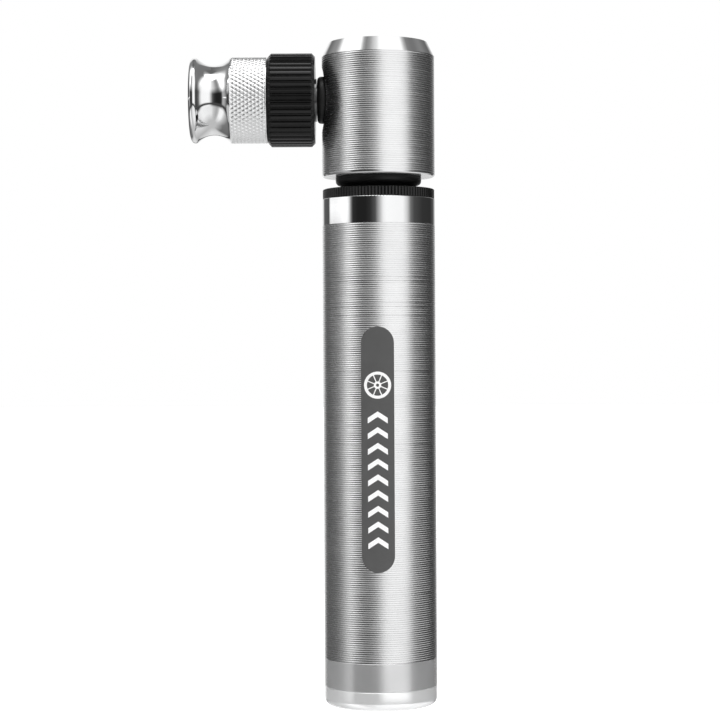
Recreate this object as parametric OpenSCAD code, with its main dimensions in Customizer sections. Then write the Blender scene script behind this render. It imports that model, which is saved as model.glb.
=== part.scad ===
// Mini bicycle pump: an aluminium barrel that slides on an inner cylinder, with a swivelling
// screw-on chuck at the side of the head. All sizes are in millimetres.
// The origin is the centre of the flat base and +Z runs up the barrel. The chuck lies along -X:
// its pieces are drawn upright, at their distance from the barrel's axis, by on_chuck_axis().

/* [Barrel] */
// Outside diameter of the barrel and of the head
body_d = 22; // [21.5:0.5:25]
// Wall thickness of the barrel tube
barrel_wall = 1.5; // [1.3:0.1:1.8]
// Height of the end cap's visible rim
cap_h = 3.7; // [3.2:0.1:5]
// Rounding of the end cap's lower edge
cap_round = 1.6; // [0.5:0.1:2.4]
// Height of the barrel tube's upper end above the base
barrel_top = 98.6; // [90:0.2:130]
// Thickness of the ring that closes the barrel's upper end
ring_h = 1.9; // [1.6:0.1:3]

/* [Label] */
// Width of the label plate
label_w = 6.3; // [4:0.1:9]
// Height of the label's lower end above the base
label_low = 26.6; // [15:0.1:35]
// Height of the label's upper end above the base
label_high = 73.6; // [60:0.1:80]
// Thickness of the label plate, which lies flush in a pocket
label_t = 0.1; // [0.08:0.02:0.3]
// Degrees that the label sits round the barrel from the side at right angles to the chuck
label_turn = -2.5; // [-10:0.5:10]

/* [Cylinder and piston] */
// Outside diameter of the inner cylinder
cylinder_d = 12.8; // [12.4:0.2:13.2]
// Bore of the inner cylinder
cylinder_bore = 11; // [10.8:0.1:11.4]
// Diameter of the piston rod
rod_d = 4; // [3.6:0.2:5]
// Thickness of the piston's O-ring
o_ring_d = 1.8; // [1.5:0.1:2]
// How far the O-ring floats in its groove
o_ring_float = 0.5; // [0.3:0.1:0.8]

/* [Head] */
// Gap between the barrel's ring and the head, filled by the bump stop
head_gap = 2.5; // [2:0.1:4]
// Height of the head
head_h = 26.2; // [25:0.2:32]
// Width of the chamfer round the head's top
chamfer_w = 1.4; // [0.4:0.1:2.5]
// Height of the chamfer round the head's top
chamfer_h = 2.8; // [0.5:0.1:4]
// Height of the chuck's axis above the head's underside
port_rise = 15.1; // [14.8:0.1:16]
// Travel of the check valve
check_lift = 0.8; // [0.4:0.1:1]

/* [Chuck] */
// Distance from the barrel's axis to the grip nut's near face
nut_near = 12.3; // [12.2:0.1:12.7]
// Length of the grip nut
nut_l = 9.15; // [9:0.05:11]
// Diameter of the grip nut
nut_d = 18.24; // [16.5:0.1:21]
// Number of grooves round the grip nut
nut_grooves = 44; // [20:1:60]
// Diameter of the valve collar's knurled part
collar_d = 16.7; // [14.5:0.1:19]
// Length of the valve collar outside the grip nut
collar_l = 15.15; // [15:0.05:18]
// Depth of the valve collar's waist
waist_depth = 1.55; // [0.5:0.05:2]
// Radius of the waist's hollow curve
waist_round = 4.3; // [4:0.1:5]
// Radius of the collar's thread for the tyre valve
valve_r = 3.9; // [3.7:0.05:4.1]

/* [Fits] */
// Radial clearance of turning and sliding pieces
running_gap = 0.05; // [0.03:0.01:0.08]
// Gap between faces that meet end to end
face_gap = 0.05; // [0.02:0.01:0.1]

/* [Hidden] */
$fn = 96;
cut = 0.5;                 // how far a cutting shape passes beyond the face it opens
body_r = body_d / 2;
seam = 0.2;                // width of the fine V line where two turned pieces meet

// Barrel, end cap and rod
bore_r = body_r - barrel_wall;
cap_top = cap_h + 5.8;     // upper end of the end cap's threaded spigot
rod_r = rod_d / 2;
rod_foot = 2.5;            // depth of the rod's tapped hole in the cap
nut_af = 8;                // rod nut, across the flats
rod_nut_h = 3;

// Gland at the barrel's upper end
ring_top = barrel_top + ring_h;
ring_inset = 0.1;          // the ring is this much smaller in radius than the barrel
gland_foot = barrel_top - 6.4;
gland_lip = 1;             // lip below the guide bush
cylinder_r = cylinder_d / 2;
cylinder_bore_r = cylinder_bore / 2;
pocket_r = cylinder_r + 1.6;
lip_r = cylinder_r + 0.2;
wiper_low = ring_top - 1.4;
wiper_high = ring_top - 0.1;

// Head
head_z = ring_top + head_gap;
head_top = head_z + head_h;
chuck_z = head_z + port_rise;
seat_z = head_z + 6;       // underside of the check valve's seat
seat_h = 2;
seat_r = 5;
chamber_r = 3.4;
chamber_low = seat_z + seat_h;
chamber_high = chamber_low + 5.6;
duct_r = 1.4;
gasket_t = 0.4;
tube_top = seat_z - gasket_t;

// Piston
piston_r = cylinder_bore_r - 0.1;
piston_z = tube_top - 11.1;
piston_h = 6.9;
piston_top = piston_z + piston_h;
spigot_r = 1.5;
ring_section_r = o_ring_d / 2;
groove_low = piston_z + 2.2;
groove_high = groove_low + o_ring_d + o_ring_float + face_gap;
groove_r = cylinder_bore_r - o_ring_d - 0.1;
piston_nut_af = 5.5;
piston_nut_h = 2.4;
slots = 3;                 // air slots below the groove

// Cylinder foot
foot_z = cap_top + rod_nut_h + 0.1;
foot_h = 4.4;
foot_web = 0.8;            // web that the cylinder's lower end stands on
buffer_h = 1.2;
tube_foot = foot_z + foot_web;
foot_top = foot_z + foot_h;

// Bump stop
bump_r = 8.35;
bump_low_r = cylinder_r + 0.4;

// Check valve
lip_h = 0.4;               // raised sealing lip of the seat
orifice_r = 1.2;
poppet_r = 2.8;
seal_r = 2.4;
seal_h = 0.8;
seal_z = chamber_low + lip_h;
poppet_z = seal_z + seal_h;
poppet_h = 0.8;
boss_r = 1.3;
boss_h = 1.6;
wire_r = 0.2;
coil_r = 1.75;
turns = 4.5;
wire_sides = 6;
turn_steps = 16;
coil_low = poppet_z + poppet_h + wire_r;
coil_high = chamber_high - wire_r;

// Swivel stem, measured along the chuck's axis from the barrel's axis
stem_r = 3;
stem_near = 4.6;
stem_bore_r = 1.3;
flange_r = 4.3;
flange_near = nut_near + 2.55;
flange_h = 1.45;
hex_af = 3;
hex_depth = 1;
neck_ring_r = 0.8;
neck_ring_near = body_r - 1;
neck_ring_far = nut_near - 0.4;
sink_near = body_r - 1.1;  // countersink round the port
sink_near_r = 3.9;
sink_far = body_r + 0.9;
sink_far_r = 8.5;

// Grip nut and its threaded core
nut_far = nut_near + nut_l;
nut_r = nut_d / 2;
nut_chamfer = 0.65;
nut_groove_r = 0.3;
core_near = nut_near - 0.3;
core_boss_r = 4.2;
core_step = nut_near + 0.8;
core_far = nut_far - 0.4;
core_r = 6.6;
cavity_near = nut_near + 1.5;
cavity_r = flange_r + 0.2;
thread_near = nut_near + 4.1;
thread_r = 5.4;
stem_ring_r = 0.45;
seal_ring_r = 0.45;

// Valve collar
collar_near = nut_far + face_gap;
collar_far = collar_near + collar_l;
collar_r = collar_d / 2;
spigot_near = thread_near + 2 * seal_ring_r + 2 * face_gap;
lip_round = 0.9;           // the waist's curve runs smoothly into the rounded lip
lip_at = collar_far - lip_round;
waist_span = waist_round + lip_round;
waist_at = lip_at - sqrt(pow(waist_span, 2) - pow(waist_span - waist_depth, 2));
lip_from = lip_at - (lip_at - waist_at) * lip_round / waist_span;
passage_r = 2;
spider_r = 3.4;
spider_h = 1;
grommet_far = collar_far - 8.75;
grommet_h = 3.2;
grommet_near = grommet_far - grommet_h;
grommet_r = 4.7;
grommet_bore_r = 2.2;
spider_near = grommet_near - spider_h;
pin_r = 0.75;
pin_past = 1;              // how far the valve pin stands past the grommet
relief_h = 1.4;            // thread relief beside the grommet
relief_r = valve_r + 0.25;
spider_holes = 3;
mouth_chamfer = 0.5;

// Lays a piece drawn upright over onto the chuck's axis: its +Z becomes -X
module on_chuck_axis()
    translate([0, 0, chuck_z]) rotate([0, -90, 0]) children();

// Solid round bar between two heights
module bar(r, low, high)
    translate([0, 0, low]) cylinder(r = r, h = high - low);

// Round tube between two heights
module tube(outer_r, inner_r, low, high)
    difference() {
        bar(outer_r, low, high);
        bar(inner_r, low - cut, high + cut);
    }

// Hexagonal nut with a plain bore
module hex_nut(across_flats, hole_r, low, high)
    difference() {
        translate([0, 0, low]) cylinder(d = across_flats / cos(30), h = high - low, $fn = 6);
        bar(hole_r, low - cut, high + cut);
    }

// Ring of round section
module o_ring(mid_r, section_r, z)
    translate([0, 0, z]) rotate_extrude() translate([mid_r, 0]) circle(r = section_r);

// Fine V line turned round the barrel at a height
module seam_line(z)
    rotate_extrude() translate([body_r, z]) rotate(45) square(seam, center = true);

// Pill-shaped prism that the label and its pocket are cut to, on the -Y side
module label_prism()
    rotate([90, 0, 0]) linear_extrude(body_r + cut) {
        for (z = [label_low + label_w / 2, label_high - label_w / 2])
            translate([0, z]) circle(d = label_w);
        translate([-label_w / 2, label_low + label_w / 2])
            square([label_w, label_high - label_low - label_w]);
    }

module barrel_tube()
    color("silver") difference() {
        tube(body_r, bore_r, cap_h, barrel_top);
        seam_line(cap_h);
        rotate(label_turn) intersection() {
            tube(body_r + cut, body_r - label_t, label_low - cut, label_high + cut);
            label_prism();
        }
    }

module end_cap()
    color("gainsboro") difference() {
        union() {
            rotate_extrude() {
                square([body_r - cap_round, cap_h]);
                translate([0, cap_round]) square([body_r, cap_h - cap_round]);
                translate([body_r - cap_round, cap_round]) circle(r = cap_round);
            }
            bar(bore_r, cap_h, cap_top);
        }
        seam_line(cap_h);
        bar(rod_r, rod_foot, cap_top + cut);
    }

module label()
    color("dimgray") rotate(label_turn) intersection() {
        tube(body_r, body_r - label_t, label_low - cut, label_high + cut);
        label_prism();
    }

module gland_ring()
    color("black") difference() {
        union() {
            bar(body_r - ring_inset, barrel_top, ring_top);
            bar(bore_r, gland_foot, barrel_top);
        }
        bar(lip_r, gland_foot - cut, ring_top + cut);
        bar(pocket_r, gland_foot + gland_lip, ring_top + cut);
    }

module wiper_ring()
    color("dimgray") tube(pocket_r, cylinder_r + running_gap, wiper_low, wiper_high);

module guide_bush()
    color("ivory") tube(
        pocket_r - running_gap, cylinder_r + running_gap,
        gland_foot + gland_lip + face_gap, wiper_low - face_gap
    );

module piston_rod()
    color("lightgray") {
        bar(rod_r, rod_foot, piston_z);
        bar(spigot_r, piston_z, piston_top + piston_nut_h + 0.4);
    }

module rod_nut()
    color("gray") hex_nut(nut_af, rod_r, cap_top, cap_top + rod_nut_h);

module piston()
    color("ivory") difference() {
        bar(piston_r, piston_z, piston_top);
        bar(spigot_r, piston_z - cut, piston_top + cut);
        tube(piston_r + cut, groove_r, groove_low, groove_high);
        for (i = [0 : slots - 1])
            rotate(360 / slots * i) translate([groove_r, -1, piston_z - cut])
                cube([piston_r, 2, groove_low - piston_z + 2 * cut]);
    }

module piston_o_ring()
    color("black") o_ring(
        cylinder_bore_r - 0.03 - ring_section_r, ring_section_r,
        groove_low + ring_section_r + face_gap / 2
    );

module piston_nut()
    color("gray") hex_nut(piston_nut_af, spigot_r, piston_top, piston_top + piston_nut_h);

module cylinder_tube()
    color("silver") tube(cylinder_r, cylinder_bore_r, tube_foot, tube_top);

module cylinder_foot()
    color("darkslategray") difference() {
        bar(bore_r - running_gap, foot_z, foot_top);
        bar(cylinder_bore_r, foot_z - cut, foot_top + cut);
        bar(cylinder_r, tube_foot, foot_top + cut);
    }

module foot_buffer()
    color("black") tube(bore_r - 0.3, cylinder_r, foot_top, foot_top + buffer_h);

module cylinder_gasket()
    color("black") tube(cylinder_r, cylinder_bore_r, tube_top, seat_z);

module head_body()
    color("silver") difference() {
        rotate_extrude() polygon([
            [0, head_z], [body_r - seam, head_z], [body_r, head_z + seam],
            [body_r, head_top - chamfer_h], [body_r - chamfer_w, head_top], [0, head_top]
        ]);
        bar(cylinder_r, head_z - cut, seat_z);
        bar(seat_r, head_z, chamber_low);
        bar(chamber_r, head_z, chamber_high);
        bar(duct_r, head_z, chuck_z);
        on_chuck_axis() {
            bar(duct_r, 0, stem_near + cut);
            bar(stem_r, stem_near, body_r + cut);
            translate([0, 0, sink_near])
                cylinder(r1 = sink_near_r, r2 = sink_far_r, h = sink_far - sink_near);
        }
    }

module bump_stop()
    color("black") rotate_extrude() polygon([
        [cylinder_r, ring_top + face_gap], [bump_low_r, ring_top + face_gap],
        [bump_low_r + 0.5, ring_top + 0.3 * head_gap], [bump_r - 0.3, ring_top + 0.6 * head_gap],
        [bump_r, ring_top + 0.8 * head_gap], [bump_r, head_z], [cylinder_r, head_z]
    ]);

module valve_seat()
    color("goldenrod") difference() {
        union() {
            bar(seat_r, seat_z, chamber_low);
            translate([0, 0, chamber_low])
                cylinder(r1 = orifice_r + 0.8, r2 = orifice_r + 0.3, h = lip_h);
        }
        bar(orifice_r, seat_z - cut, seal_z + cut);
    }

module valve_seal()
    color("black") bar(seal_r, seal_z, poppet_z);

module valve_poppet()
    color("ivory") {
        tube(poppet_r, seal_r, seal_z + 0.3, poppet_z);
        bar(poppet_r, poppet_z, poppet_z + poppet_h);
        bar(boss_r, poppet_z + poppet_h, poppet_z + poppet_h + boss_h);
    }

// Corners of the spring wire's outline at step i round the coil
function wire_outline(i, angle = 360 / turn_steps, rise = (coil_high - coil_low) / (turns * turn_steps)) = [
    for (k = [0 : wire_sides - 1])
        let (around = 360 / wire_sides * k, r = coil_r + wire_r * cos(around))
        [r * cos(angle * i), r * sin(angle * i), coil_low + rise * i + wire_r * sin(around)]
];

module valve_spring() {
    steps = turns * turn_steps;
    points = [for (i = [0 : steps]) each wire_outline(i)];
    sides = [
        for (i = [0 : steps - 1], k = [0 : wire_sides - 1])
            let (a = i * wire_sides + k, b = i * wire_sides + (k + 1) % wire_sides)
            each [[a, b, b + wire_sides], [a, b + wire_sides, a + wire_sides]]
    ];
    first_end = [for (k = [wire_sides - 1 : -1 : 0]) k];
    last_end = [for (k = [0 : wire_sides - 1]) steps * wire_sides + k];
    color("gray") polyhedron(points, concat([first_end], sides, [last_end]));
}

module swivel_stem()
    color("lightgray") on_chuck_axis() difference() {
        union() {
            bar(stem_r, stem_near, flange_near);
            bar(flange_r, flange_near, flange_near + flange_h);
        }
        bar(stem_bore_r, stem_near - cut, flange_near + flange_h + cut);
        translate([0, 0, flange_near + flange_h - hex_depth])
            cylinder(d = hex_af / cos(30), h = hex_depth + cut, $fn = 6);
    }

module neck_o_ring()
    color("black") on_chuck_axis() rotate_extrude() {
        for (u = [neck_ring_near + neck_ring_r, neck_ring_far - neck_ring_r])
            translate([stem_r + neck_ring_r, u]) circle(r = neck_ring_r);
        translate([stem_r, neck_ring_near + neck_ring_r])
            square([2 * neck_ring_r, neck_ring_far - neck_ring_near - 2 * neck_ring_r]);
    }

module stem_o_ring()
    color("black") on_chuck_axis()
        o_ring(stem_r + 0.05 + stem_ring_r, stem_ring_r, flange_near - face_gap - stem_ring_r);

module grip_nut()
    color("black") on_chuck_axis() difference() {
        rotate_extrude() polygon([
            [core_boss_r, nut_near], [nut_r - nut_chamfer, nut_near],
            [nut_r, nut_near + nut_chamfer], [nut_r, nut_far - nut_chamfer],
            [nut_r - nut_chamfer, nut_far], [core_r, nut_far],
            [core_r, core_step], [core_boss_r, core_step]
        ]);
        for (i = [0 : nut_grooves - 1])
            rotate(360 / nut_grooves * i) translate([nut_r, 0, nut_near - cut])
                cylinder(r = nut_groove_r, h = nut_l + 2 * cut, $fn = 24);
    }

module nut_core()
    color("goldenrod") on_chuck_axis() difference() {
        union() {
            bar(core_boss_r, core_near, core_step);
            bar(core_r, core_step, core_far);
        }
        bar(stem_r + running_gap, core_near - cut, core_far);
        bar(cavity_r, cavity_near, core_far);
        bar(thread_r, thread_near, core_far + cut);
    }

module collar_seal()
    color("black") on_chuck_axis()
        o_ring(thread_r - 0.1 - seal_ring_r, seal_ring_r, thread_near + face_gap + seal_ring_r);

module valve_collar()
    color("silver") on_chuck_axis() difference() {
        union() {
            bar(thread_r - running_gap, spigot_near, collar_near);
            rotate_extrude() difference() {
                union() {
                    translate([0, collar_near]) square([collar_r, lip_from - collar_near]);
                    translate([0, collar_near]) square([collar_r - lip_round, collar_l]);
                    translate([collar_r - lip_round, lip_at]) circle(r = lip_round);
                }
                translate([collar_r - waist_depth + waist_round, waist_at]) circle(r = waist_round);
            }
        }
        bar(passage_r, spigot_near - cut, collar_far);
        bar(spider_r, spider_near, collar_far);
        bar(grommet_r, grommet_near, grommet_far);
        bar(relief_r, grommet_far, grommet_far + relief_h);
        bar(valve_r, grommet_near, collar_far + cut);
        translate([0, 0, collar_far - mouth_chamfer])
            cylinder(r1 = valve_r, r2 = valve_r + 2 * mouth_chamfer, h = 2 * mouth_chamfer);
    }

module valve_pin()
    color("lightgray") on_chuck_axis() {
        difference() {
            bar(spider_r, spider_near, grommet_near);
            for (i = [0 : spider_holes - 1])
                rotate(360 / spider_holes * i) translate([1.5, 0, spider_near - cut])
                    cylinder(r = 0.5, h = spider_h + 2 * cut);
        }
        bar(pin_r, grommet_near, grommet_far + pin_past);
    }

module valve_grommet()
    color("black") on_chuck_axis() tube(grommet_r, grommet_bore_r, grommet_near, grommet_far);

barrel_tube();
end_cap();
label();
gland_ring();
wiper_ring();
guide_bush();
piston_rod();
rod_nut();
piston();
piston_o_ring();
piston_nut();
cylinder_tube();
cylinder_foot();
foot_buffer();
cylinder_gasket();
head_body();
bump_stop();
valve_seat();
valve_seal();
valve_poppet();
valve_spring();
swivel_stem();
neck_o_ring();
stem_o_ring();
grip_nut();
nut_core();
collar_seal();
valve_collar();
valve_pin();
valve_grommet();
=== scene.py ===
"""The looks of a mini bicycle pump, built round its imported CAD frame. Metres, +Z up the barrel."""
import math
import random

import bmesh
import bpy
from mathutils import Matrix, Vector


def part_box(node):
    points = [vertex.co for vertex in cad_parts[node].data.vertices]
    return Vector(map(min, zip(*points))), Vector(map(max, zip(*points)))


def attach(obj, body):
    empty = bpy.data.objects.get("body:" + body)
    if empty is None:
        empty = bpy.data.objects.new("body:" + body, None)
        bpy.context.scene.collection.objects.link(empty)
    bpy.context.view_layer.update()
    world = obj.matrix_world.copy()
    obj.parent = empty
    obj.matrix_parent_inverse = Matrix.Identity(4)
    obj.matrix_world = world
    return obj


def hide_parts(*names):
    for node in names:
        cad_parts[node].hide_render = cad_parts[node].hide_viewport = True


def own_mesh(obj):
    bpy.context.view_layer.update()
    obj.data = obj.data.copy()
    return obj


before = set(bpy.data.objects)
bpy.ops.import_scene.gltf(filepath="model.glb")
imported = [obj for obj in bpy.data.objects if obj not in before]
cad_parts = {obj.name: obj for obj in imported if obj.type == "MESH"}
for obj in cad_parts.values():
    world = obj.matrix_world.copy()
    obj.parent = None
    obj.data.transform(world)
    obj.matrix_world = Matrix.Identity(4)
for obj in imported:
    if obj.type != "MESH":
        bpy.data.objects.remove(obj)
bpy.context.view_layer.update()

MM = 0.001
X, Z = 0, 2


def low_mm(node, axis=Z):
    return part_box(node)[0][axis] / MM


def high_mm(node, axis=Z):
    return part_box(node)[1][axis] / MM


# ---------------------------------------------------------------- sizes in mm, from the frame

BODY_R = high_mm("barrel_tube", X)
BARREL_LOW, BARREL_HIGH = low_mm("barrel_tube"), high_mm("barrel_tube")
CAP_TOP = high_mm("end_cap")
RING_R, RING_TOP, GLAND_LOW = high_mm("gland_ring", X), high_mm("gland_ring"), low_mm("gland_ring")
HEAD_LOW, HEAD_HIGH = low_mm("head_body"), high_mm("head_body")
CYLINDER_R = high_mm("cylinder_tube", X)
TUBE_LOW, TUBE_HIGH = low_mm("cylinder_tube"), high_mm("cylinder_tube")
POCKET_R = high_mm("wiper_ring", X)
ROD_R, ROD_LOW = high_mm("piston_rod", X), low_mm("piston_rod")
SEAT_R, SEAT_LOW = high_mm("valve_seat", X), low_mm("valve_seat")
LABEL_LOW, LABEL_HIGH = low_mm("label"), high_mm("label")
LABEL_LEFT = math.asin(low_mm("label", X) / BODY_R)
LABEL_RIGHT = math.asin(high_mm("label", X) / BODY_R)
LABEL_TURN = (LABEL_LEFT + LABEL_RIGHT) / 2
LABEL_W = 2 * BODY_R * math.sin((LABEL_RIGHT - LABEL_LEFT) / 2)
BUMP_R, BUMP_LOW = high_mm("bump_stop", X), low_mm("bump_stop")

# Pieces on the chuck's axis are measured outward from the barrel's axis
CHUCK_Z = (low_mm("grip_nut") + high_mm("grip_nut")) / 2
NUT_R = high_mm("grip_nut") - CHUCK_Z
NUT_NEAR, NUT_FAR = -high_mm("grip_nut", X), -low_mm("grip_nut", X)
CORE_R = high_mm("nut_core") - CHUCK_Z
COLLAR_NEAR, COLLAR_FAR = -high_mm("valve_collar", X), -low_mm("valve_collar", X)
COLLAR_R = high_mm("valve_collar") - CHUCK_Z
GROMMET_R = high_mm("valve_grommet") - CHUCK_Z
GROMMET_NEAR, GROMMET_FAR = -high_mm("valve_grommet", X), -low_mm("valve_grommet", X)
SPIDER_R, SPIDER_NEAR = high_mm("valve_pin") - CHUCK_Z, -high_mm("valve_pin", X)
NECK_R = high_mm("neck_o_ring") - CHUCK_Z
NECK_NEAR, NECK_FAR = -high_mm("neck_o_ring", X), -low_mm("neck_o_ring", X)
STEM_NEAR = -high_mm("swivel_stem", X)

# Details that the frame's boxes don't show
BARREL_WALL = 1.5
BORE_R = BODY_R - BARREL_WALL
SEAM = 0.14              # depth and half-width of the V where two turned pieces meet
CAP_ROUND = 1.6
SATIN_H = 5.5            # plain satin band above the end cap
LABEL_SUNK, LABEL_PROUD = 0.1, 0.05      # the label's depth and height from the barrel's surface
POLISHED_H = 5.2         # polished band under the gland ring
GROOVE_PITCH = 0.41
GROOVE_DEPTH = 0.042
GROOVE_VARIETY = 0.06    # share by which a groove's depth varies
GROOVE_SHARP = 12        # facets of a groove meet at more than this many degrees
CHAMFER_W, CHAMFER_H = 1.4, 2.8          # of the head's top
DUCT_R = 1.4             # air duct through the head
STEM_R = 3.0
THREAD_PITCH = 0.794
THREAD_DEPTH = 0.36
SPIGOT_R = 5.35          # the collar's thread in the grip nut
VALVE_R = 3.9            # the collar's thread for the tyre valve
RELIEF_H, RELIEF_R = 1.4, 4.15           # the room at the end of that thread
WIRE_R = 0.2             # the check valve's spring


# ---------------------------------------------------------------- mesh making

def upright(r, angle, h):
    """A point of a piece turned round the barrel's axis."""
    return r * math.cos(angle), r * math.sin(angle), h


def along_chuck(r, angle, h):
    """A point of a piece turned round the chuck's axis, h out from the barrel's axis."""
    return -h, r * math.sin(angle), CHUCK_Z + r * math.cos(angle)


def add_mesh(name, points, faces, zones, materials, sharp_deg=38):
    """A smooth-shaded object from points in millimetres."""
    mesh = bpy.data.meshes.new(name)
    mesh.from_pydata([(x * MM, y * MM, z * MM) for x, y, z in points], [], faces)
    for material in materials:
        mesh.materials.append(material)
    mesh.polygons.foreach_set("material_index", zones)
    mesh.polygons.foreach_set("use_smooth", [True] * len(faces))
    mesh.set_sharp_from_angle(angle=math.radians(sharp_deg))
    mesh.update()
    piece = bpy.data.objects.new(name, mesh)
    bpy.context.scene.collection.objects.link(piece)
    return piece


def turned(name, outline, materials, place=upright, segments=96, relief=None, sharp_deg=38):
    """A lathe-turned solid. outline holds (radius, height, zone), up the outside and down the
    inside, where zone picks the material from that point to the next. It closes on itself, or
    starts and ends on the axis. relief(r, h, angle) is the radius where it varies round a ring."""
    angles = [2 * math.pi * j / segments for j in range(segments)]
    points, rings = [], []
    for r, h, _ in outline:
        first = len(points)
        if r == 0:
            points.append(place(0, 0, h))
        else:
            points += [place(relief(r, h, a) if relief else r, a, h) for a in angles]
        rings.append(range(first, len(points)))
    pairs = list(zip(rings, rings[1:]))
    if outline[0][0] > 0:
        pairs.append((rings[-1], rings[0]))
    faces, zones = [], []
    for (a, b), (_, _, zone) in zip(pairs, outline):
        for j in range(segments):
            k = (j + 1) % segments
            if len(a) == 1:
                faces.append((a[0], b[k], b[j]))
            elif len(b) == 1:
                faces.append((a[j], a[k], b[0]))
            else:
                faces.append((a[j], a[k], b[k], b[j]))
            zones.append(zone)
    return add_mesh(name, points, faces, zones, materials, sharp_deg)


def arc(centre_r, centre_h, radius, start_deg, end_deg, steps, zone=0):
    """Outline points along an arc. 0 degrees points outward and 90 degrees up."""
    turn = end_deg - start_deg
    angles = [math.radians(start_deg + turn * i / steps) for i in range(steps + 1)]
    return [(centre_r + radius * math.cos(a), centre_h + radius * math.sin(a), zone)
            for a in angles]


def wall(r, low, high, step, zone=0):
    """Outline points straight up or down at one radius, about a step apart."""
    count = max(1, round(abs(high - low) / step))
    return [(r, low + (high - low) * i / count, zone) for i in range(count + 1)]


def record_grooves(r, low, high, seed, zone=0):
    """Outline points of fine turned V grooves, each a slightly different depth."""
    rng = random.Random(seed)
    count = round((high - low) / GROOVE_PITCH)
    pitch = (high - low) / count
    points = []
    for i in range(count):
        depth = GROOVE_DEPTH * rng.uniform(1 - GROOVE_VARIETY, 1 + GROOVE_VARIETY)
        for part, sink in ((0, 0.2), (0.25, 0), (0.5, 0.2), (0.75, 1)):
            points.append((r - depth * sink, low + pitch * (i + part), zone))
    return points + [(r, high, zone)]


def finish_piece(piece, body, slot, *nodes):
    """The piece rides on a body and stands for CAD nodes. The slot is not used."""
    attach(piece, body)
    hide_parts(*nodes)
    return piece


# ---------------------------------------------------------------- materials

PATTERN_LOW, PATTERN_HIGH = 0.3, 0.7     # the range that most of a noise pattern lies in
PATCHES = 180.0                          # noise scales, in patterns a metre
MOTTLE = 260.0
ROUND_THE_LATHE = 60.0
METAL_TINT = 0.004


class Shader:
    """Builds one material's nodes round a Principled shader."""

    def __init__(self, name, **settings):
        self.material = bpy.data.materials.new(name)
        self.material.use_nodes = True
        self.nodes = self.material.node_tree.nodes
        self.links = self.material.node_tree.links
        self.shader = self.nodes["Principled BSDF"]
        self.coords = self.nodes.new("ShaderNodeTexCoord").outputs["Object"]
        for socket, value in settings.items():
            self.shader.inputs[socket.replace("_", " ")].default_value = value

    def link(self, source, node, socket):
        self.links.new(source, node.inputs[socket])

    def stretched(self, scale):
        """Object coordinates, stretched by a scale along each axis."""
        mapping = self.nodes.new("ShaderNodeMapping")
        mapping.inputs["Scale"].default_value = scale
        self.link(self.coords, mapping, "Vector")
        return mapping.outputs["Vector"]

    def noise(self, scale, detail=3.0, size=(1, 1, 1)):
        texture = self.nodes.new("ShaderNodeTexNoise")
        texture.inputs["Scale"].default_value = scale
        texture.inputs["Detail"].default_value = detail
        self.link(self.stretched(size), texture, "Vector")
        return texture.outputs["Fac"]

    def spread(self, source, low, high, into):
        """Maps a pattern onto low to high of one of the shader's values."""
        remap = self.nodes.new("ShaderNodeMapRange")
        remap.inputs["From Min"].default_value = PATTERN_LOW
        remap.inputs["From Max"].default_value = PATTERN_HIGH
        remap.inputs["To Min"].default_value = low
        remap.inputs["To Max"].default_value = high
        self.link(source, remap, "Value")
        self.link(remap.outputs["Result"], self.shader, into)

    def shades(self, source, dark, light):
        """Maps a pattern onto two colours of the surface."""
        ramp = self.nodes.new("ShaderNodeValToRGB")
        ends = zip(ramp.color_ramp.elements, (PATTERN_LOW, PATTERN_HIGH), (dark, light))
        for element, position, colour in ends:
            element.position = position
            element.color = (*colour, 1)
        self.link(source, ramp, "Fac")
        self.link(ramp.outputs["Color"], self.shader, "Base Color")

    def bump(self, source, height_mm):
        """Raises the surface by a pattern, height_mm from black to white."""
        node = self.nodes.new("ShaderNodeBump")
        node.inputs["Distance"].default_value = height_mm * MM
        node.inputs["Strength"].default_value = 1.0
        self.link(source, node, "Height")
        self.link(node.outputs["Normal"], self.shader, "Normal")


def grey(level, tint=0.0):
    """A neutral colour, a little cooler where tint is above 0."""
    return level * (1 - tint), level, level * (1 + tint)


def turned_metal(name, level, roughness, lines_mm, line_height_mm,
                 along=Z, wear=0.03, metallic=1.0):
    """Metal off the lathe: hair lines round the axis, patchy polish and faint handling marks."""
    shader = Shader(name, Metallic=metallic)
    across = [ROUND_THE_LATHE] * 3
    across[along] = 1 / (lines_mm * MM)
    lines = shader.noise(1.0, 4.0, across)
    patches = shader.noise(PATCHES)
    shader.shades(patches, grey(level - wear, METAL_TINT), grey(level + wear, METAL_TINT))
    shader.spread(lines, roughness * 0.8, roughness * 1.25, "Roughness")
    shader.bump(lines, line_height_mm)
    return shader.material


def moulded(name, dark, light, roughness, grain_mm, grain_height_mm, specular=0.5):
    """Moulded plastic or rubber: fine grain, uneven sheen and slight mottling."""
    sheen = 0.07
    shader = Shader(name, Specular_IOR_Level=specular)
    grain = shader.noise(1 / (grain_mm * MM), 2.0)
    mottle = shader.noise(MOTTLE, 4.0)
    shader.shades(mottle, dark, light)
    shader.spread(mottle, roughness - sheen, roughness + sheen, "Roughness")
    shader.bump(grain, grain_height_mm)
    return shader.material


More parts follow.
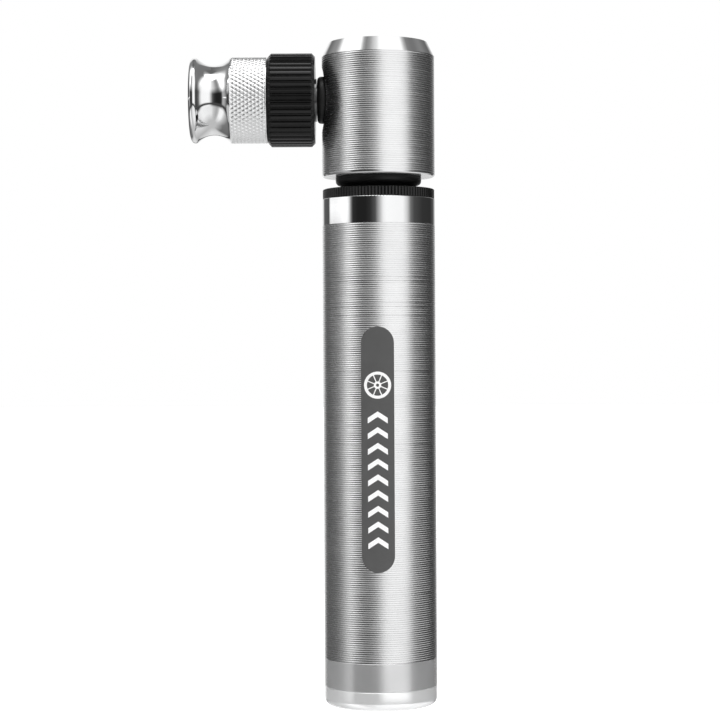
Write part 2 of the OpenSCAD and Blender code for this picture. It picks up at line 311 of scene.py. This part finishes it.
# Grey level, roughness, and the hair lines' pitch and height in mm
GROOVED = turned_metal("grooved_aluminium", 0.87, 0.25, 0.07, 0.0008, metallic=0.985)
POLISHED = turned_metal("polished_aluminium", 0.90, 0.06, 0.05, 0.0001, wear=0.01)
SATIN = turned_metal("satin_aluminium", 0.71, 0.20, 0.05, 0.0006, metallic=0.66)
BRIGHT_CAP = turned_metal("bright_cap", 0.97, 0.1, 0.05, 0.0002, wear=0.01, metallic=0.5)
DRAWN = turned_metal("drawn_aluminium", 0.78, 0.22, 0.5, 0.0006)
INNER = turned_metal("bored_aluminium", 0.62, 0.38, 0.12, 0.002)
CHUCK_METAL = turned_metal("chuck_metal", 0.90, 0.06, 0.05, 0.0001, along=X, wear=0.01)
KNURLED = turned_metal("knurled_metal", 0.93, 0.22, 0.08, 0.0006, along=X, wear=0.02, metallic=0.85)
STEEL = turned_metal("ground_steel", 0.55, 0.24, 0.06, 0.0008)
SPRING_WIRE = turned_metal("spring_wire", 0.50, 0.26, 0.15, 0.0010)
PLATED = turned_metal("plated_brass", 0.74, 0.16, 0.05, 0.0004, along=X)
# Plating darkened far below bare metal as painted shade: the stem and the nut's core show only in
# the narrow gap between the grip nut and the neck ring
GAP_SHADE_PLATING = turned_metal("gap_shade_plating", 0.15, 0.14, 0.05, 0.0003, along=X)
BRASS = turned_metal("valve_brass", 0.50, 0.28, 0.06, 0.0008)
# Dark and light colour, roughness, the grain's pitch and height in mm, and specular level
NUT_PLASTIC = moulded("nut_plastic", grey(0.004), grey(0.006), 0.18, 0.12, 0.0012, 0.32)
RING_PLASTIC = moulded("ring_plastic", grey(0.004), grey(0.006), 0.12, 0.12, 0.0008, 0.45)
RUBBER = moulded("black_rubber", grey(0.006), grey(0.009), 0.42, 0.09, 0.002, 0.3)
ACETAL = moulded("white_acetal", (0.74, 0.73, 0.69), (0.80, 0.79, 0.75), 0.38, 0.15, 0.003)
LABEL_FILM = moulded("label_film", grey(0.092), grey(0.099), 0.45, 0.06, 0.0015, 0.15)
LABEL_INK = moulded("label_ink", grey(0.93), grey(0.97), 0.40, 0.05, 0.001)
TURNED_METALS = [GROOVED, POLISHED, SATIN, INNER]


# ---------------------------------------------------------------- barrel, end cap and gland

def barrel():
    """The handle's tube: a satin band, grooves, and a polished band, with a nick between them."""
    grooved, polished, satin, bored = range(len(TURNED_METALS))
    groove_low, groove_high = BARREL_LOW + SATIN_H, BARREL_HIGH - POLISHED_H
    nick, low_half, high_half, edge = 0.05, 0.06, 0.05, 0.08
    outline = [(BODY_R - SEAM, BARREL_LOW, satin), (BODY_R, BARREL_LOW + SEAM, satin),
               (BODY_R, groove_low - 2 * low_half, satin),
               (BODY_R - nick, groove_low - low_half, grooved)]
    outline += record_grooves(BODY_R, groove_low, groove_high, seed=4, zone=grooved)
    outline += [(BODY_R - nick, groove_high + high_half, polished),
                (BODY_R, groove_high + 2 * high_half, polished),
                (BODY_R, BARREL_HIGH - edge, polished), (BODY_R - edge, BARREL_HIGH, polished),
                (BORE_R, BARREL_HIGH, bored), (BORE_R, BARREL_LOW, satin)]
    piece = turned("barrel_turned", outline, TURNED_METALS, sharp_deg=GROOVE_SHARP)
    return finish_piece(piece, "handle", "turned_aluminium", "barrel_tube")


def end_cap():
    """The cap that the pump stands on, with a round recess underneath."""
    recess_r, recess_depth, slope, lead_in = 2.5, 0.25, 0.3, 0.3
    outline = [(0, recess_depth, 0), (recess_r - slope, recess_depth, 0), (recess_r, 0.0, 0)]
    outline += arc(BODY_R - CAP_ROUND, CAP_ROUND, CAP_ROUND, -90, 0, 10)
    outline += [(BODY_R, BARREL_LOW - SEAM, 0), (BODY_R - SEAM, BARREL_LOW, 1),
                (BORE_R, BARREL_LOW, 1), (BORE_R, CAP_TOP - lead_in, 1),
                (BORE_R - lead_in, CAP_TOP, 1), (ROD_R, CAP_TOP, 1),
                (ROD_R, ROD_LOW, 1), (0, ROD_LOW, 1)]
    piece = turned("end_cap_turned", outline, [BRIGHT_CAP, INNER], segments=128)
    return finish_piece(piece, "handle", "polished_aluminium", "end_cap")


def gland():
    """The coin-edged ring in the barrel's top, with the pocket that holds the wiper."""
    teeth, tooth_depth, tooth_gap = 100, 0.12, 4
    low_edge, top_edge, edge_h, rim_w, lead_in = 0.12, 0.14, 0.12, 0.6, 0.2
    lip_r, lip_top = CYLINDER_R + 0.2, GLAND_LOW + 1

    def coin_edge(r, h, angle):
        if r < RING_R - 0.2:
            return r
        wave = 0.5 - 0.5 * math.cos(teeth * angle)
        return r - tooth_depth * wave ** tooth_gap

    outline = [(BORE_R, GLAND_LOW, 0), (BORE_R, BARREL_HIGH, 0),
               (RING_R - low_edge, BARREL_HIGH, 0), (RING_R, BARREL_HIGH + 0.1, 0),
               (RING_R, RING_TOP - edge_h, 0), (RING_R - top_edge, RING_TOP, 0),
               (RING_R - rim_w, RING_TOP, 0), (POCKET_R + lead_in, RING_TOP, 0),
               (POCKET_R, RING_TOP - lead_in, 0), (POCKET_R, lip_top, 0), (lip_r, lip_top, 0),
               (lip_r, GLAND_LOW, 0)]
    piece = turned("gland_ring_edged", outline, [RING_PLASTIC], segments=600, relief=coin_edge)
    return finish_piece(piece, "handle", "black_plastic", "gland_ring")


# ---------------------------------------------------------------- label

def on_barrel(r, across, h):
    """A point at radius r, a distance across from the middle of the label."""
    angle = math.asin(across / BODY_R) + LABEL_TURN
    return r * math.sin(angle), -r * math.cos(angle), h


def pill_rows(width, low, high, end_rows=12, middle_rows=40):
    """Heights and half-widths of a pill shape, from its lower tip to its upper tip."""
    r, straight = width / 2, high - low - width
    turn = [math.pi / 2 * i / end_rows for i in range(end_rows + 1)]
    ends = [(low + r - r * math.cos(t), r * math.sin(t)) for t in turn]
    middle = [(low + r + straight * i / middle_rows, r) for i in range(1, middle_rows)]
    return ends + middle + [(low + high - h, half) for h, half in reversed(ends)]


def curved_plate(name, rows, r_low, r_high, material, crown, columns=16):
    """A thin plate wrapped on the barrel's front. rows holds (height, left, right), and the rim
    is lower than the rest by the crown."""
    points, faces = [], []
    for r in (r_low, r_high):
        for h, left, right in rows:
            for c in range(columns + 1):
                share = c / columns
                rim = c in (0, columns) or left == right
                drop = crown if r == r_high and rim else 0
                points.append(on_barrel(r - drop, left + (right - left) * share, h))
    count, stride = len(rows), columns + 1
    top = count * stride
    for i in range(count - 1):
        for c in range(columns):
            a = i * stride + c
            b = a + stride
            faces.append((a + top, a + 1 + top, b + 1 + top, b + top))
            faces.append((a, b, b + 1, a + 1))
        for c, flip in ((0, False), (columns, True)):
            a = i * stride + c
            b = a + stride
            side = (a, a + top, b + top, b)
            faces.append(side[::-1] if flip else side)
    for i, flip in ((0, False), (count - 1, True)):
        for c in range(columns):
            a = i * stride + c
            side = (a, a + 1, a + 1 + top, a + top)
            faces.append(side[::-1] if flip else side)
    piece = add_mesh(name, points, faces, [0] * len(faces), [material], sharp_deg=50)
    weld(piece)
    return piece


def weld(piece):
    """Joins points that meet, such as a row that narrows to a tip."""
    modifier = piece.modifiers.new("weld", "WELD")
    modifier.merge_threshold = 0.002 * MM
    bake(piece)


def bake(piece):
    """Applies the piece's modifiers to its mesh."""
    bpy.context.view_layer.update()
    graph = bpy.context.evaluated_depsgraph_get()
    mesh = bpy.data.meshes.new_from_object(piece.evaluated_get(graph))
    piece.modifiers.clear()
    piece.data = mesh


def label():
    """The pill-shaped label, which hides the grooves under it."""
    rows = [(h, -half, half) for h, half in pill_rows(LABEL_W, LABEL_LOW, LABEL_HIGH)]
    plate = curved_plate("label_plate", rows, BODY_R - LABEL_SUNK, BODY_R + LABEL_PROUD,
                         LABEL_FILM, crown=0.02)
    return finish_piece(plate, "handle", "label_film", "label")


def label_marks():
    """A wheel and a row of tyre-tread chevrons, printed in white."""
    print_low, print_high = BODY_R + LABEL_PROUD - 0.02, BODY_R + LABEL_PROUD + 0.012
    chevrons, first, pitch, wheel_h = 9, LABEL_LOW + 4.5, 3.0, LABEL_HIGH - 11.2
    pieces = [chevron_mark("label_chevron_%d" % i, first + pitch * i, print_low, print_high)
              for i in range(chevrons)]
    pieces += wheel_mark(wheel_h, print_low, print_high)
    joined = join("label_marks", pieces)
    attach(joined, "handle")
    return joined


def ribbon(name, centre_line, half_widths, r_low, r_high, ring=False):
    """A flat white mark on the label along (across, height) points. A ring has no ends."""
    points, faces = [], []
    for (across, h), (dx, dh) in zip(centre_line, half_widths):
        for r in (r_low, r_high):
            for sign in (-1, 1):
                points.append(on_barrel(r, across + sign * dx, h + sign * dh))
    count = len(centre_line)
    for i in range(count if ring else count - 1):
        a, b = 4 * i, 4 * ((i + 1) % count)
        for p, q in ((0, 1), (1, 3), (3, 2), (2, 0)):
            faces.append((a + p, a + q, b + q, b + p))
    if not ring:
        last = 4 * (count - 1)
        faces += [(2, 3, 1, 0), (last, last + 1, last + 3, last + 2)]
    piece = add_mesh(name, points, faces, [0] * len(faces), [LABEL_INK])
    outward(piece)
    return piece


def outward(piece):
    """Turns every face of a closed mesh outward."""
    mesh = bmesh.new()
    mesh.from_mesh(piece.data)
    bmesh.ops.recalc_face_normals(mesh, faces=mesh.faces)
    mesh.to_mesh(piece.data)
    mesh.free()


def chevron_mark(name, base, r_low, r_high):
    """One chevron of the tread, from its left foot over its point to its right foot."""
    half, rise, thick, steps = 1.9, 1.25, 1.05, 8
    line = [(half * s / steps, base + rise * (1 - abs(s) / steps) + thick / 2)
            for s in range(-steps, steps + 1)]
    return ribbon(name, line, [(0, thick / 2)] * len(line), r_low, r_high)


def wheel_mark(h, r_low, r_high):
    """A wheel drawn as a tyre, a hub and spokes, which bend round the barrel."""
    rim_r, rim_half, hub_r, hub_half, sides = 2.3, 0.28, 0.5, 0.2, 48
    spokes, spoke_half, spoke_steps, spoke_near = 8, 0.09, 6, hub_r + 0.1
    pieces = []
    for name, r, half in (("tyre", rim_r, rim_half), ("hub", hub_r, hub_half)):
        turn = [2 * math.pi * i / sides for i in range(sides)]
        line = [(r * math.cos(t), h + r * math.sin(t)) for t in turn]
        widths = [(half * math.cos(t), half * math.sin(t)) for t in turn]
        pieces.append(ribbon("label_" + name, line, widths, r_low, r_high, ring=True))
    radii = [spoke_near + (rim_r - spoke_near) * k / spoke_steps for k in range(spoke_steps + 1)]
    for i in range(spokes):
        t = 2 * math.pi * (i + 0.5) / spokes
        line = [(r * math.cos(t), h + r * math.sin(t)) for r in radii]
        widths = [(-spoke_half * math.sin(t), spoke_half * math.cos(t))] * len(line)
        pieces.append(ribbon("label_spoke_%d" % i, line, widths, r_low, r_high))
    return pieces


def join(name, pieces):
    """One object made of several."""
    with bpy.context.temp_override(active_object=pieces[0], selected_editable_objects=pieces,
                                   selected_objects=pieces):
        bpy.ops.object.join()
    pieces[0].name = name
    return pieces[0]


# ---------------------------------------------------------------- head

def head():
    """The head, with the check valve's chamber and a round sink where the chuck's neck enters."""
    grooved, polished, satin, bored = range(len(TURNED_METALS))
    groove_low, groove_high = HEAD_LOW + 0.4, HEAD_HIGH - CHAMFER_H - 0.15
    chamber_r, seat_top = 3.4, SEAT_LOW + 2
    chamber_top = seat_top + 5.6
    edge, lip, top_edge = 0.2, 0.1, 0.05
    outline = [(0, CHUCK_Z, bored), (DUCT_R, CHUCK_Z, bored), (DUCT_R, chamber_top, bored),
               (chamber_r, chamber_top, bored), (chamber_r, seat_top, bored),
               (SEAT_R, seat_top, bored), (SEAT_R, SEAT_LOW, bored),
               (CYLINDER_R, SEAT_LOW, bored), (CYLINDER_R, HEAD_LOW, satin),
               (BODY_R - edge, HEAD_LOW, polished), (BODY_R, HEAD_LOW + edge, polished),
               (BODY_R, groove_low - lip, grooved)]
    outline += record_grooves(BODY_R, groove_low, groove_high, seed=9, zone=grooved)
    outline += [(BODY_R, HEAD_HIGH - CHAMFER_H, polished),
                (BODY_R - CHAMFER_W + top_edge, HEAD_HIGH - top_edge, polished),
                (BODY_R - CHAMFER_W - 2 * top_edge, HEAD_HIGH, satin), (0, HEAD_HIGH, satin)]
    piece = turned("head_turned", outline, TURNED_METALS, segments=144, sharp_deg=GROOVE_SHARP)
    cutter = port_cutter(polished, bored)
    cut = piece.modifiers.new("port", "BOOLEAN")
    cut.object = cutter
    cut.operation = "DIFFERENCE"
    cut.solver = "EXACT"
    bake(piece)
    piece.data.set_sharp_from_angle(angle=math.radians(GROOVE_SHARP))
    bpy.data.objects.remove(cutter)
    return finish_piece(piece, "head", "turned_aluminium", "head_body")


def port_cutter(polished, bored):
    """What the lathe takes out of the head's side: the sink, the stem's seat and the duct."""
    sink_near = BODY_R - 1.1
    sink_r, sink_far_r, outside = 3.9, 8.5, sink_near + 4
    duct_r, duct_start = DUCT_R - 0.1, 0.5
    return turned("port_cutter", [
        (0, duct_start, bored), (duct_r, duct_start, bored), (duct_r, STEM_NEAR, bored),
        (STEM_R, STEM_NEAR, bored), (STEM_R, sink_near - 0.4, polished),
        (sink_r, sink_near, polished), (sink_far_r, sink_near + 2, polished),
        (sink_far_r, outside, polished), (0, outside, polished)],
        TURNED_METALS, place=along_chuck)


def bump_stop():
    """The rubber ring under the head, with a cone down to its foot on the cylinder."""
    foot_w, cone_w, cone_low, cone_high = 0.35, 0.7, 0.28, 0.75
    corner, corner_h, edge = 0.85, 1.6, 0.1
    outline = [(CYLINDER_R, BUMP_LOW, 0), (CYLINDER_R + foot_w, BUMP_LOW, 0),
               (CYLINDER_R + cone_w, BUMP_LOW + cone_low, 0),
               (BUMP_R - corner, BUMP_LOW + cone_high, 0)]
    outline += arc(BUMP_R - corner, BUMP_LOW + corner_h, corner, -60, 0, 6)
    outline += [(BUMP_R, HEAD_LOW - edge, 0), (BUMP_R - edge, HEAD_LOW, 0),
                (CYLINDER_R, HEAD_LOW, 0)]
    piece = turned("bump_stop_moulded", outline, [RUBBER], segments=128, sharp_deg=60)
    return finish_piece(piece, "head", "black_rubber", "bump_stop")


def cylinder():
    """The drawn inner tube, which shows when the pump is open."""
    gasket_w = 0.9
    bore = high_mm("cylinder_gasket", X) - gasket_w
    outline = wall(CYLINDER_R, TUBE_LOW, TUBE_HIGH, 4.0) + wall(bore, TUBE_HIGH, TUBE_LOW, 8.0)
    piece = turned("cylinder_drawn", outline, [DRAWN], segments=128)
    return finish_piece(piece, "head", "drawn_aluminium", "cylinder_tube")


def valve_spring():
    """The check valve's coil spring, which shortens as the valve lifts off its seat."""
    turns, turn_steps, sides = 4.5, 32, 10
    low, high = low_mm("valve_spring") + WIRE_R, high_mm("valve_spring") - WIRE_R
    coil_r = high_mm("valve_spring", X) - WIRE_R
    steps = round(turns * turn_steps)
    points, faces = [], []
    for i in range(steps + 1):
        for k in range(sides):
            around = 2 * math.pi * k / sides
            points.append(upright(coil_r + WIRE_R * math.cos(around), 2 * math.pi * i / turn_steps,
                                  low + (high - low) * i / steps + WIRE_R * math.sin(around)))
    for i in range(steps):
        for k in range(sides):
            a, b = i * sides + k, i * sides + (k + 1) % sides
            faces.append((a, a + sides, b + sides, b))
    faces += [tuple(range(sides)), tuple(reversed(range(steps * sides, (steps + 1) * sides)))]
    piece = add_mesh("valve_spring_coil", points, faces, [0] * len(faces), [SPRING_WIRE], 50)
    finish_piece(piece, "head", "steel", "valve_spring")
    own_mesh(piece)


# ---------------------------------------------------------------- chuck

def neck_ring():
    """The rubber ring on the neck, round at both edges."""
    section = (NECK_R - STEM_R) / 2
    mid = STEM_R + section
    outline = arc(mid, NECK_NEAR + section, section, -180, 0, 12)
    outline += arc(mid, NECK_FAR - section, section, 0, 180, 12)
    piece = turned("neck_ring_moulded", outline, [RUBBER], place=along_chuck)
    return finish_piece(piece, "head", "black_rubber", "neck_o_ring")


def grip_nut():
    """The moulded nut, with flutes between slightly crowned ribs."""
    flutes, flute_segments, depth, half_share, flute_shape = 44, 12, 0.36, 0.24, 0.6
    crown, chamfer, chamfer_steps, step = 0.05, 0.65, 5, 0.13
    neck_hole_r, web = 4.2, 0.8

    def fluted(r, h, angle):
        if r < CORE_R + 0.1 or r < NUT_R - chamfer - 0.01:
            return r
        phase = (angle * flutes / (2 * math.pi)) % 1.0
        off = min(phase, 1 - phase) / half_share
        sink = depth * math.cos(off * math.pi / 2) ** flute_shape if off < 1 else 0
        rounding = crown * (1 - math.cos(2 * math.pi * (phase - 0.5))) / 2
        return min(r, NUT_R - sink - rounding)

    flank = [(NUT_R - chamfer + chamfer * i / chamfer_steps, chamfer * i / chamfer_steps)
             for i in range(chamfer_steps + 1)]
    face_r = NUT_R - chamfer - 0.2
    outline = [(neck_hole_r, NUT_NEAR, 0), (face_r, NUT_NEAR, 0)]
    outline += [(r, NUT_NEAR + h, 0) for r, h in flank]
    outline += wall(NUT_R, NUT_NEAR + chamfer + step, NUT_FAR - chamfer - step, 2.0)
    outline += [(r, NUT_FAR - h, 0) for r, h in reversed(flank)]
    outline += [(face_r, NUT_FAR, 0), (CORE_R, NUT_FAR, 0), (CORE_R, NUT_NEAR + web, 0),
                (neck_hole_r, NUT_NEAR + web, 0)]
    piece = turned("grip_nut_fluted", outline, [NUT_PLASTIC], along_chuck,
                   flutes * flute_segments, fluted, 42)
    return finish_piece(piece, "grip", "black_plastic", "grip_nut")


def at(r, surface_r):
    """Whether an outline's point lies on one of its threaded or knurled surfaces."""
    return abs(r - surface_r) < 0.001


def thread_cut(h, angle):
    """0 on a thread's crest to 1 at its root, h along the axis."""
    flank_slope, crest = 2.4, 0.7
    phase = (h / THREAD_PITCH + angle / (2 * math.pi)) % 1.0
    return min(1.0, max(0.0, flank_slope * abs(phase - 0.5) * 2 - crest))


def valve_collar():
    """The collar: threaded spigot, knurl, hollow waist, flared lip and the mouth's thread."""
    starts, parts, diamond = 60, 6, 1.43
    knurl_depth, margin, flat = 0.17, 0.25, 0.55
    knurl_near, lip_r = NUT_FAR + 0.05, 0.9
    waist_depth, waist_r = 1.55, 4.3
    lip_at, span = COLLAR_FAR - lip_r, waist_r + lip_r
    waist_at = lip_at - math.sqrt(span ** 2 - (span - waist_depth) ** 2)
    knurl_far = waist_at - math.sqrt(waist_r ** 2 - (waist_r - waist_depth) ** 2)
    thread_low, thread_step = GROMMET_FAR + RELIEF_H, 0.1
    undercut_r, bore_r, edge = SPIGOT_R - 0.5, 2.0, 0.15
    plain, knurled, threaded = range(3)

    def relief(r, h, angle):
        if at(r, COLLAR_R) and knurl_near + margin < h < knurl_far - margin:
            turn = angle * starts / (2 * math.pi)
            along = h / diamond
            sides = [1 - 2 * abs((turn + sign * along) % 1.0 - 0.5) for sign in (-1, 1)]
            return r - knurl_depth * (1 - min(flat, min(sides)) / flat)
        if at(r, SPIGOT_R):
            return r - THREAD_DEPTH * thread_cut(h, angle)
        if at(r, VALVE_R) and thread_low + 0.1 < h < COLLAR_FAR - 0.6:
            return r + THREAD_DEPTH * (1 - thread_cut(h, angle)) * 0.8
        return r

    outline = [(bore_r, COLLAR_NEAR, plain), (SPIGOT_R - 0.4, COLLAR_NEAR, threaded)]
    outline += wall(SPIGOT_R, COLLAR_NEAR + 0.3, knurl_near - 0.4, thread_step, threaded)
    outline += [(undercut_r, knurl_near - 0.3, plain), (undercut_r, knurl_near, plain),
                (COLLAR_R - edge, knurl_near, plain), (COLLAR_R, knurl_near + edge, knurled)]
    outline += wall(COLLAR_R, knurl_near + margin, knurl_far - margin, diamond / parts / 2,
                    knurled)
    outline += [(COLLAR_R, knurl_far - 0.1, plain)]
    waist_deg = math.degrees(math.asin((waist_at - knurl_far) / waist_r))
    lip_deg = math.degrees(math.asin((lip_at - waist_at) / span))
    outline += arc(COLLAR_R - waist_depth + waist_r, waist_at, waist_r,
                   180 + waist_deg, 180 - lip_deg, 24)
    outline += arc(COLLAR_R - lip_r, lip_at, lip_r, -lip_deg, 90, 16)[1:]
    outline += [(VALVE_R + 0.5, COLLAR_FAR, plain), (VALVE_R + 0.05, COLLAR_FAR - 0.45, threaded)]
    outline += wall(VALVE_R, COLLAR_FAR - 0.5, thread_low, thread_step, threaded)
    outline += [(RELIEF_R, thread_low, plain), (RELIEF_R, GROMMET_FAR, plain),
                (GROMMET_R, GROMMET_FAR, plain), (GROMMET_R, GROMMET_NEAR, plain),
                (SPIDER_R, GROMMET_NEAR, plain), (SPIDER_R, SPIDER_NEAR, plain),
                (bore_r, SPIDER_NEAR, plain)]
    piece = turned("valve_collar_knurled", outline, [CHUCK_METAL, KNURLED, PLATED], along_chuck,
                   starts * parts, relief, 48)
    return finish_piece(piece, "collar", "polished_aluminium", "valve_collar")


# ---------------------------------------------------------------- pieces whose CAD shape is right

CAD_FINISH = {
    "wiper_ring": RUBBER, "guide_bush": ACETAL, "piston_rod": STEEL, "rod_nut": STEEL,
    "piston": ACETAL, "piston_o_ring": RUBBER, "piston_nut": STEEL,
    "cylinder_foot": RING_PLASTIC, "foot_buffer": RUBBER, "cylinder_gasket": RUBBER,
    "valve_seat": BRASS, "valve_seal": RUBBER, "valve_poppet": ACETAL,
    # The stem and the nut's core take the plating darkened as painted shade for the gap between the
    # grip nut and the neck ring
    "swivel_stem": GAP_SHADE_PLATING, "stem_o_ring": RUBBER, "nut_core": GAP_SHADE_PLATING,
    "collar_seal": RUBBER, "valve_pin": PLATED, "valve_grommet": RUBBER,
}


def finish_cad_nodes():
    """Gives the CAD nodes that show as they are their materials."""
    for node, material in CAD_FINISH.items():
        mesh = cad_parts[node].data
        mesh.materials.clear()
        mesh.materials.append(material)


# ---------------------------------------------------------------- studio

def floor():
    """A plain pale floor, which stays out of the metal's reflections."""
    bpy.ops.mesh.primitive_plane_add(size=6, location=(0, 0, 0))
    plane = bpy.context.object
    plane.name = "floor"
    shader = Shader("floor_paint", Roughness=0.9, Specular_IOR_Level=0.0)
    shader.shades(shader.noise(40.0), grey(0.93), grey(0.95))
    shader.shader.inputs["Emission Color"].default_value = (1, 1, 1, 1)
    shader.shader.inputs["Emission Strength"].default_value = 0.6
    plane.data.materials.append(shader.material)
    plane.visible_glossy = False


class Sky:
    """Builds the world's nodes, where light depends on the direction that it comes from."""

    def __init__(self):
        world = bpy.data.worlds.new("studio")
        world.use_nodes = True
        bpy.context.scene.world = world
        self.nodes, self.links = world.node_tree.nodes, world.node_tree.links
        direction = self.nodes.new("ShaderNodeSeparateXYZ")
        coords = self.nodes.new("ShaderNodeTexCoord")
        self.links.new(coords.outputs["Generated"], direction.inputs[0])
        x, y, z = direction.outputs
        turn = self.calc("ARCTAN2", x, self.calc("MULTIPLY", y, -1.0))
        self.azimuth = self.share_of_turn(turn)
        self.elevation = self.share_of_turn(self.calc("ARCSINE", z))

    def calc(self, operation, a, b=None):
        node = self.nodes.new("ShaderNodeMath")
        node.operation = operation
        for socket, value in zip(node.inputs, (a, b)):
            if isinstance(value, (int, float)):
                socket.default_value = value
            elif value is not None:
                self.links.new(value, socket)
        return node.outputs[0]

    def share_of_turn(self, angle):
        """0 at -180 degrees to 1 at 180."""
        return self.calc("ADD", self.calc("DIVIDE", angle, 2 * math.pi), 0.5)

    def ramp(self, source, *stops):
        """Brightness between stops, each given as degrees and brightness. Azimuth 0 faces the
        front, and negative is to the left."""
        node = self.nodes.new("ShaderNodeValToRGB")
        line = node.color_ramp
        while len(line.elements) < len(stops):
            line.elements.new(0.5)
        for element, (degrees, value) in zip(line.elements, stops):
            element.position = (degrees + 180) / 360
            element.color = (value, value, value, 1)
        self.links.new(source, node.inputs["Fac"])
        return node.outputs["Color"]

    def mix(self, fac, a, b):
        node = self.nodes.new("ShaderNodeMix")
        node.data_type = "RGBA"
        self.links.new(fac, node.inputs["Factor"])
        for socket, value in zip(node.inputs[6:8], (a, b)):
            if isinstance(value, float):
                socket.default_value = (value, value, value, 1)
            else:
                self.links.new(value, socket)
        return node.outputs[2]

    def plus_product(self, base, a, b):
        node = self.nodes.new("ShaderNodeVectorMath")
        node.operation = "MULTIPLY_ADD"
        for socket, value in zip(node.inputs, (a, b, base)):
            self.links.new(value, socket)
        return node.outputs[0]


def level_light(sky):
    """What smooth upright metal reflects: a tall box in front, one behind, and a thin strip on
    the left."""
    boxes = sky.ramp(
        sky.azimuth, (-180, 0.95), (-160, 0.9), (-147, 0.12), (-124, 0.08), (-100, 0.08),
        (-84, 0.18), (-72, 0.42), (-63, 0.45), (-55, 0.03), (-44, 0.016), (-27, 0.016),
        (-17, 0.03), (-7, 0.09), (1, 0.46), (9, 0.95), (16, 1.07), (50, 1.03), (60, 0.66),
        (68, 0.17), (77, 0.07), (100, 0.035), (131, 0.03), (149, 0.1), (163, 0.6), (180, 0.95))
    strip = sky.ramp(
        sky.azimuth, (-180, 0), (-123, 0), (-117, 1.2), (-77, 1.25), (-67, 0.9), (-59, 0),
        (180, 0))
    strip_height = sky.ramp(
        sky.elevation, (-180, 0), (3.2, 0), (3.7, 1), (4.7, 1), (5.2, 0), (180, 0))
    return sky.plus_product(boxes, strip, strip_height)


def high_light(sky):
    """What the grooves' upper flanks reflect, and from 36 degrees up what the chamfer does."""
    flanks = sky.ramp(
        sky.azimuth, (-180, 1.0), (-160, 0.95), (-147, 0.2), (-129, 0.28), (-113, 0.3),
        (-98, 0.35), (-85, 0.85), (-74, 1.75), (-62, 2.05), (-53, 1.1), (-45, 0.42),
        (-37, 0.25), (-26, 0.36), (-15, 0.62), (-5, 0.8), (5, 1.15), (69, 1.14), (77, 0.55),
        (85, 0.23), (97, 0.2), (112, 0.25), (149, 0.22), (163, 0.65), (180, 1.0))
    chamfer = sky.ramp(
        sky.azimuth, (-180, 0.13), (-129, 0.28), (-115, 0.6), (-103, 1.2), (-85, 1.7),
        (-60, 1.9), (-53, 1.1), (-45, 0.42), (-37, 0.25), (-26, 0.36), (-15, 0.62),
        (-5, 0.8), (5, 1.15), (69, 1.14), (77, 0.55), (85, 0.23), (97, 0.19), (180, 0.19))
    aloft = sky.ramp(sky.elevation, (-180, 0), (36, 0), (42, 1), (180, 1))
    return sky.mix(aloft, flanks, chamfer)


def ceiling_light(sky):
    return sky.ramp(
        sky.azimuth, (-180, 0.13), (-140, 0.15), (-100, 0.9), (-70, 3.3), (70, 3.3),
        (100, 0.5), (140, 0.15), (180, 0.13))


def low_light(sky):
    """What the grooves' lower flanks reflect, evened out straight below."""
    flanks = sky.ramp(
        sky.azimuth, (-180, 0.8), (-160, 0.7), (-146, 0.15), (-110, 0.2), (-85, 0.6),
        (-70, 1.05), (-52, 1.0), (-42, 0.55), (-32, 0.42), (-14, 0.6), (0, 0.88), (60, 0.98),
        (82, 0.84), (95, 0.8), (120, 0.75), (150, 0.5), (180, 0.8))
    under = sky.ramp(sky.elevation, (-180, 1), (-74, 1), (-48, 0), (180, 0))
    return sky.mix(under, flanks, 0.55)


def studio():
    """Soft boxes in front and behind, a bright ceiling and pale ground, all as the world's light.
    The camera itself sees plain white."""
    sky = Sky()
    above = sky.ramp(sky.elevation, (-180, 0), (16, 0), (34, 1), (180, 1))
    overhead = sky.ramp(sky.elevation, (-180, 0), (62, 0), (70, 1), (180, 1))
    below = sky.ramp(sky.elevation, (-180, 1), (-26, 1), (-19, 0), (180, 0))
    table_edge = sky.ramp(
        sky.elevation, (-180, 0), (-20, 0), (-18, 1), (-14, 1), (-11, 0), (180, 0))
    lit = sky.mix(above, level_light(sky), high_light(sky))
    lit = sky.mix(overhead, lit, ceiling_light(sky))
    lit = sky.mix(below, lit, low_light(sky))
    lit = sky.mix(table_edge, lit, 0.06)
    seen = sky.nodes.new("ShaderNodeLightPath").outputs["Is Camera Ray"]
    sky.links.new(sky.mix(seen, lit, 1.0), sky.nodes["Background"].inputs["Color"])
    bpy.context.scene.view_settings.view_transform = "Standard"


def camera():
    """Level, in front of the pump, a little left of its axis and rolled 0.3 degrees."""
    distance, height, aside, roll_deg = 0.42, 0.06626, -0.0038, 0.3
    lens_data = bpy.data.cameras.new("camera")
    lens_data.lens = 107.3
    lens_data.sensor_width = 36
    lens_data.shift_y = 0.0069
    lens_data.clip_start = 0.01
    view = bpy.data.objects.new("camera", lens_data)
    view.location = (aside, -distance, height)
    view.rotation_euler = (math.pi / 2, math.radians(roll_deg), 0)
    bpy.context.scene.collection.objects.link(view)
    bpy.context.scene.camera = view


# ---------------------------------------------------------------- the scene

barrel()
end_cap()
gland()
label()
label_marks()
head()
bump_stop()
cylinder()
valve_spring()
neck_ring()
grip_nut()
valve_collar()
finish_cad_nodes()
floor()
studio()
camera()
